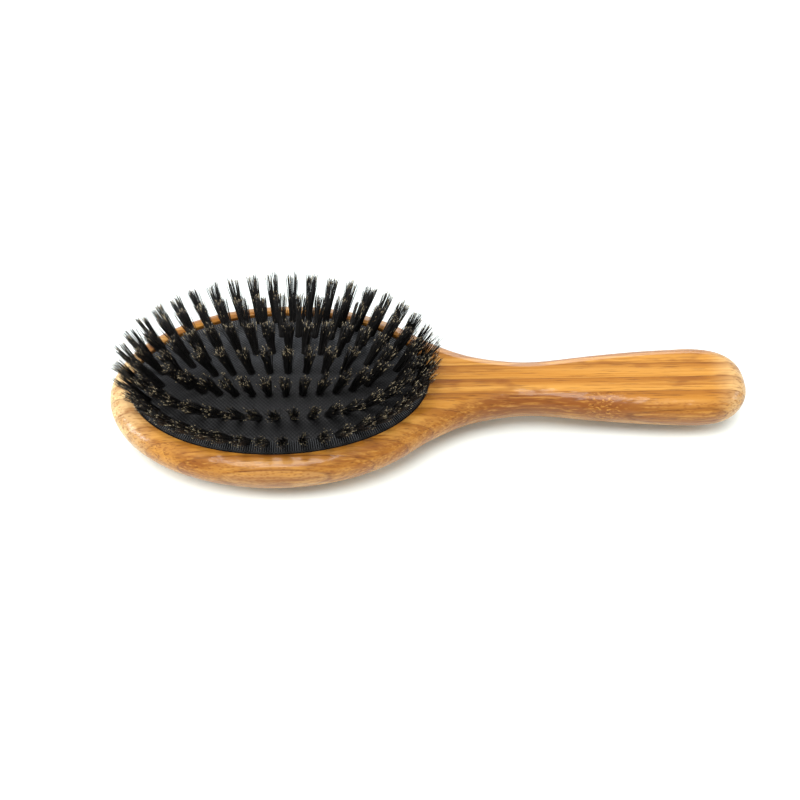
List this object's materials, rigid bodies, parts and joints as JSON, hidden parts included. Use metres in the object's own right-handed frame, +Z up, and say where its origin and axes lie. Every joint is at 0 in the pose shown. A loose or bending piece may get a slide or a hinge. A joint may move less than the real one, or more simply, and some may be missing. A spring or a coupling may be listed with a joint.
{
  "type": "vanity hairbrush",
  "caption": "Oval cushion hairbrush with a laminated bamboo body and flared handle, a domed rubber air cushion and rings of natural bristle tufts.",
  "frame": {"origin": "centre of the brush's overall box in plan, on the surface that its back lies on", "axes": "+X along the brush from the head to the end of the handle, +Y across the head, +Z up, away from the flat back and along the bristles"},
  "size_m": [0.235, 0.084, 0.0363],
  "materials": {
    "bamboo_light": "clear satin lacquer",
    "bamboo_mid": "clear satin lacquer",
    "bamboo_dark": "clear satin lacquer",
    "cushion_rubber": "matt, cloth-textured",
    "bristle": "natural hair with pale split tips"
  },
  "bodies": {
    "handle_and_head": {"cushion_rim": "cushion_rubber", "stave_01": "bamboo_dark", "stave_02": "bamboo_light", "stave_03": "bamboo_mid", "stave_04_handle": "bamboo_mid", "stave_04_head": "bamboo_mid", "stave_05": "bamboo_dark", "stave_06": "bamboo_light", "stave_07": "bamboo_mid", "stave_08": "bamboo_mid", "stave_09_handle": "bamboo_dark", "stave_09_head": "bamboo_dark", "stave_10": "bamboo_light", "stave_11": "bamboo_mid", "stave_12": "bamboo_mid", "stave_13": "bamboo_dark"},
    "cushion_outer_zone": {"cushion_outer_band": "cushion_rubber", "outer_tufts_1": "bristle", "outer_tufts_2": "bristle", "outer_tufts_3": "bristle", "outer_tufts_4": "bristle", "outer_tufts_5": "bristle", "outer_tufts_6": "bristle", "outer_tufts_7": "bristle", "outer_tufts_8": "bristle"},
    "cushion_middle_zone": {"cushion_middle_band": "cushion_rubber", "middle_tufts_1": "bristle", "middle_tufts_2": "bristle", "middle_tufts_3": "bristle", "middle_tufts_4": "bristle", "middle_tufts_5": "bristle", "middle_tufts_6": "bristle", "middle_tufts_7": "bristle", "middle_tufts_8": "bristle"},
    "cushion_crown_zone": {"centre_tufts_1": "bristle", "centre_tufts_2": "bristle", "cushion_crown": "cushion_rubber", "inner_tufts_1": "bristle", "inner_tufts_2": "bristle", "inner_tufts_3": "bristle", "inner_tufts_4": "bristle", "inner_tufts_5": "bristle", "inner_tufts_6": "bristle"}
  },
  "joints": [
    {"name": "cushion_press", "type": "slide", "parent": "handle_and_head", "child": "cushion_crown_zone", "axis": [0, 0, -1], "range_m": [0, 0.005], "stiffness_N_per_m": 2000},
    {"name": "middle_band_sink", "type": "slide", "parent": "handle_and_head", "child": "cushion_middle_zone", "axis": [0, 0, -1], "range_m": [0, 0.003], "stiffness_N_per_m": 1200},
    {"name": "outer_band_sink", "type": "slide", "parent": "handle_and_head", "child": "cushion_outer_zone", "axis": [0, 0, -1], "range_m": [0, 0.001], "stiffness_N_per_m": 1500}
  ],
  "couplings": [
    {"joint": "middle_band_sink", "follows": "cushion_press", "ratio": 0.6},
    {"joint": "outer_band_sink", "follows": "cushion_press", "ratio": 0.2}
  ]
}
